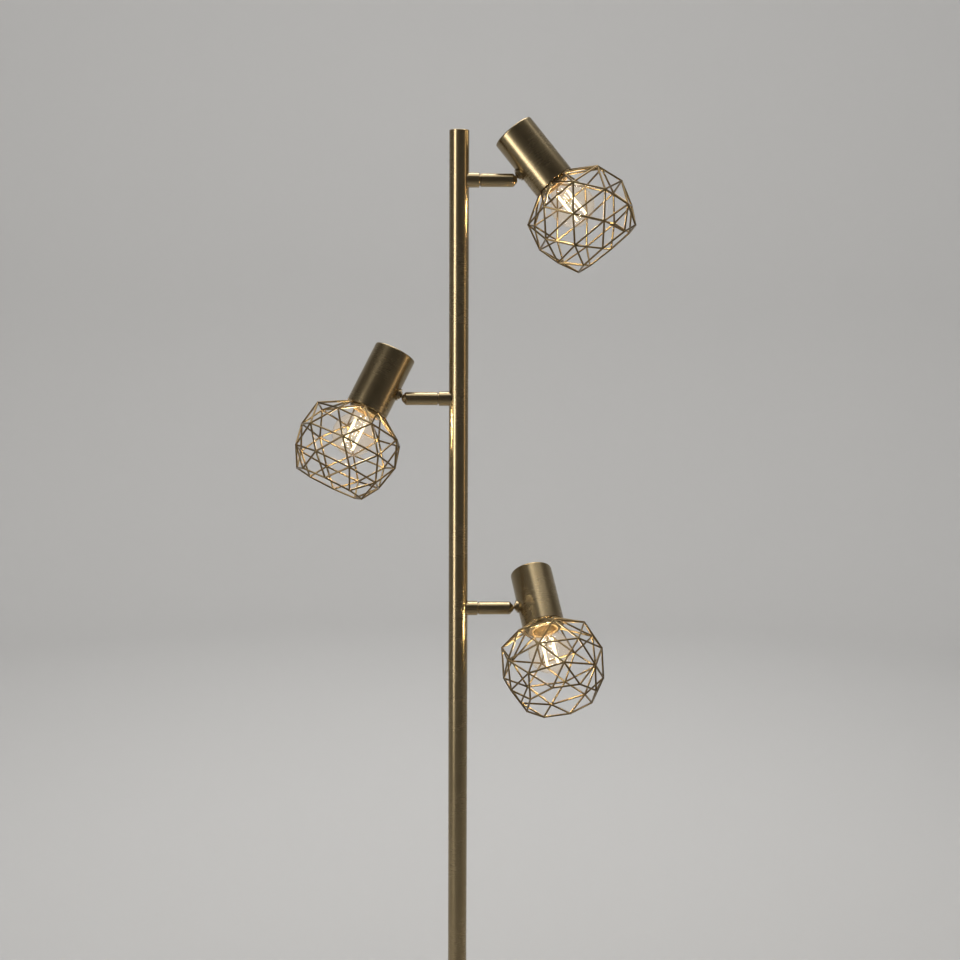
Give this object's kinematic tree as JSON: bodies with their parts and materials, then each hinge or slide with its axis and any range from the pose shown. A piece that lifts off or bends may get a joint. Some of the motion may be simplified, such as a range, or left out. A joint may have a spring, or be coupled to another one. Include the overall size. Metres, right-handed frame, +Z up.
{
  "type": "floor lamp",
  "caption": "Slim round pole on a flat disc base with spot heads on short side arms: closed cans with open faceted wire cages round clear globe bulbs.",
  "frame": {"origin": "centre of the base on the floor, on the pole's axis", "axes": "+Z up along the pole, +X along the top and bottom arms, +Y towards the cable inlet at the rear, so the front faces -Y"},
  "size_m": [0.3426, 0.2515, 1.5638],
  "materials": {
    "plated_metal": "satin antique brass plating on steel",
    "wire_metal": "satin antique brass plating on steel wire",
    "bright_metal": "bright brass plating",
    "iron": "painted black",
    "pad": "matt",
    "zinc": "zinc plated",
    "black_plastic": "matt",
    "nylon": "natural",
    "wiring": "smooth insulation",
    "cap_metal": "bright",
    "glass": "clear",
    "filament": "glowing"
  },
  "bodies": {
    "stand": {"arm_collar_1": "plated_metal", "arm_collar_2": "plated_metal", "arm_collar_3": "plated_metal", "base_cover": "plated_metal", "base_nipple": "zinc", "base_nut": "zinc", "base_pad": "pad", "base_washer": "zinc", "base_weight": "iron", "cable_gland": "black_plastic", "pole_cap": "plated_metal", "pole_coupler": "zinc", "pole_lower": "plated_metal", "pole_upper": "plated_metal", "swivel_screw_1": "zinc", "swivel_screw_2": "zinc", "swivel_screw_3": "zinc", "wire_trunk": "wiring"},
    "arm_1": {"arm_tube_1": "plated_metal", "joint_cup_1": "nylon"},
    "head_1": {"bulb_cap_1": "cap_metal", "bulb_filament_1": "filament", "bulb_glass_1": "glass", "cage_1": "wire_metal", "can_1": "plated_metal", "head_lead_1": "wiring", "holder_bracket_1": "zinc", "holder_nut_1": "zinc", "lampholder_1": "black_plastic", "neck_1": "plated_metal", "neck_washer_1": "bright_metal", "shade_ring_1": "black_plastic"},
    "arm_2": {"arm_tube_2": "plated_metal", "joint_cup_2": "nylon"},
    "head_2": {"bulb_cap_2": "cap_metal", "bulb_filament_2": "filament", "bulb_glass_2": "glass", "cage_2": "wire_metal", "can_2": "plated_metal", "head_lead_2": "wiring", "holder_bracket_2": "zinc", "holder_nut_2": "zinc", "lampholder_2": "black_plastic", "neck_2": "plated_metal", "neck_washer_2": "bright_metal", "shade_ring_2": "black_plastic"},
    "arm_3": {"arm_tube_3": "plated_metal", "joint_cup_3": "nylon"},
    "head_3": {"bulb_cap_3": "cap_metal", "bulb_filament_3": "filament", "bulb_glass_3": "glass", "cage_3": "wire_metal", "can_3": "plated_metal", "head_lead_3": "wiring", "holder_bracket_3": "zinc", "holder_nut_3": "zinc", "lampholder_3": "black_plastic", "neck_3": "plated_metal", "neck_washer_3": "bright_metal", "shade_ring_3": "black_plastic"}
  },
  "joints": [
    {"name": "arm_swivel_1", "type": "hinge", "parent": "stand", "child": "arm_1", "pos_m": [0.0214, 0, 1.501], "axis": [1, 0, 0], "range_deg": [-155, 175]},
    {"name": "head_tilt_1", "type": "hinge", "parent": "arm_1", "child": "head_1", "pos_m": [0.053, 0, 1.501], "axis": [0, -0.9848, 0.1736], "range_deg": [-50.5, 2.5]},
    {"name": "arm_swivel_2", "type": "hinge", "parent": "stand", "child": "arm_2", "pos_m": [-0.0214, 0, 1.281], "axis": [-1, 0, 0], "range_deg": [-181, 149]},
    {"name": "head_tilt_2", "type": "hinge", "parent": "arm_2", "child": "head_2", "pos_m": [-0.053, 0, 1.281], "axis": [0, 0.9613, -0.2756], "range_deg": [-38, 15]},
    {"name": "arm_swivel_3", "type": "hinge", "parent": "stand", "child": "arm_3", "pos_m": [0.0214, 0, 1.061], "axis": [1, 0, 0], "range_deg": [-123, 207]},
    {"name": "head_tilt_3", "type": "hinge", "parent": "arm_3", "child": "head_3", "pos_m": [0.053, 0, 1.061], "axis": [0, -0.7431, 0.6691], "range_deg": [-21.5, 31.5]}
  ]
}
